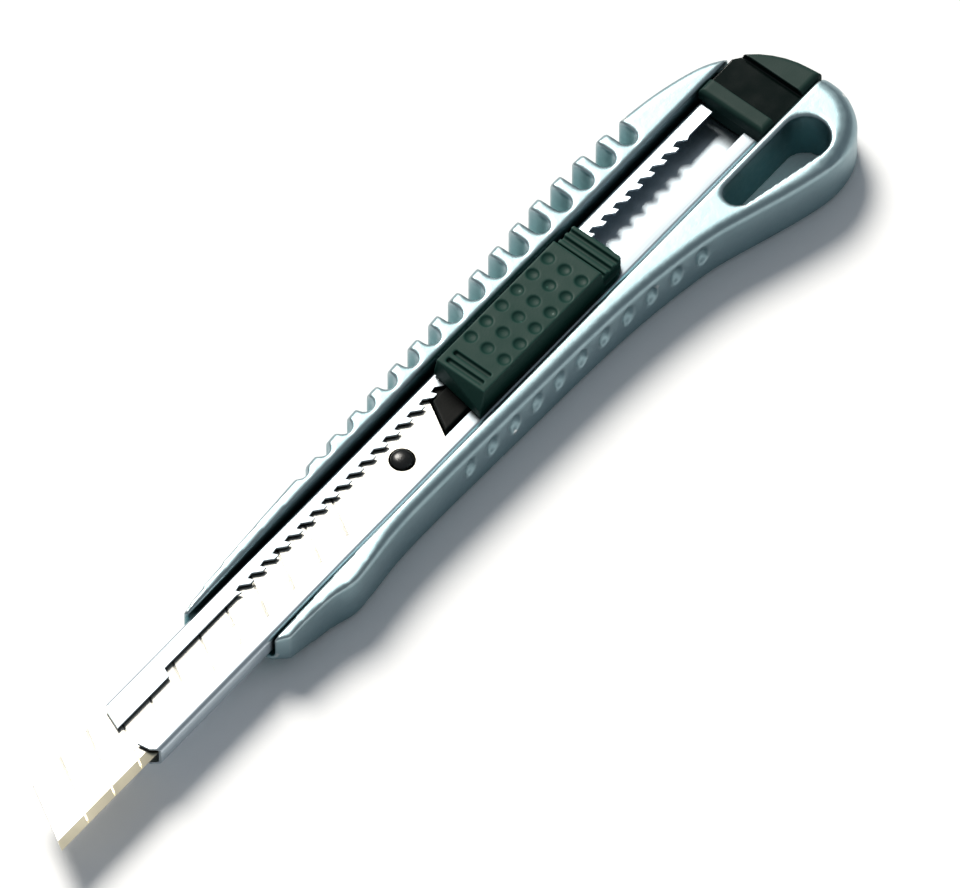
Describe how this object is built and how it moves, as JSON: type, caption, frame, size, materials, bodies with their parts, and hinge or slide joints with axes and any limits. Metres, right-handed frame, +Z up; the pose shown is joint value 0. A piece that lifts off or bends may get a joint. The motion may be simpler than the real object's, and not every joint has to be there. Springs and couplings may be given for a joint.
{
  "type": "utility knife",
  "caption": "Snap-off blade utility knife: die-cast handle with a fluted grip and lanyard hole, steel blade channel with a lock rack, sliding thumb pad and pull-off end cap.",
  "frame": {"origin": "on the flat underside of the handle, below the centre line of the blade channel, near mid length", "axes": "+X along the knife from the blade tip to the rear end, +Y across it to the fluted side (away from the cutting edge), +Z up from the surface that the knife lies on"},
  "size_m": [0.1495, 0.0259, 0.011],
  "materials": {
    "cast_metal": "fine tumbled satin, die-cast",
    "channel_steel": "bright rolled stainless sheet",
    "blade_steel": "polished and scored",
    "spring_steel": "tempered, plain",
    "rivet_metal": "peened",
    "pin_steel": "blackened",
    "slide_plastic": "fine grained",
    "cap_plastic": "fine grained"
  },
  "bodies": {
    "handle": {"die_cast_handle": "cast_metal", "blade_channel": "channel_steel", "front_channel_rivet": "rivet_metal", "rear_channel_rivet": "rivet_metal"},
    "slide": {"thumb_slide": "slide_plastic", "blade_carrier": "slide_plastic", "blade_pin": "pin_steel", "snap_off_blade": "blade_steel"},
    "lock": {"lock_spring": "spring_steel"},
    "cap": {"end_cap": "cap_plastic"}
  },
  "joints": [
    {"name": "blade_feed", "type": "slide", "parent": "handle", "child": "slide", "axis": [1, 0, 0], "range_m": [-0.0384, 0.0192]},
    {"name": "lock_release", "type": "hinge", "parent": "slide", "child": "lock", "pos_m": [0.028, 0.00137, 0.00535], "axis": [0, 0, 1], "range_deg": [0, 3.6], "stiffness_Nm_per_rad": 0.8},
    {"name": "cap_pull", "type": "slide", "parent": "handle", "child": "cap", "axis": [1, 0, 0], "range_m": [0, 0.016]}
  ]
}
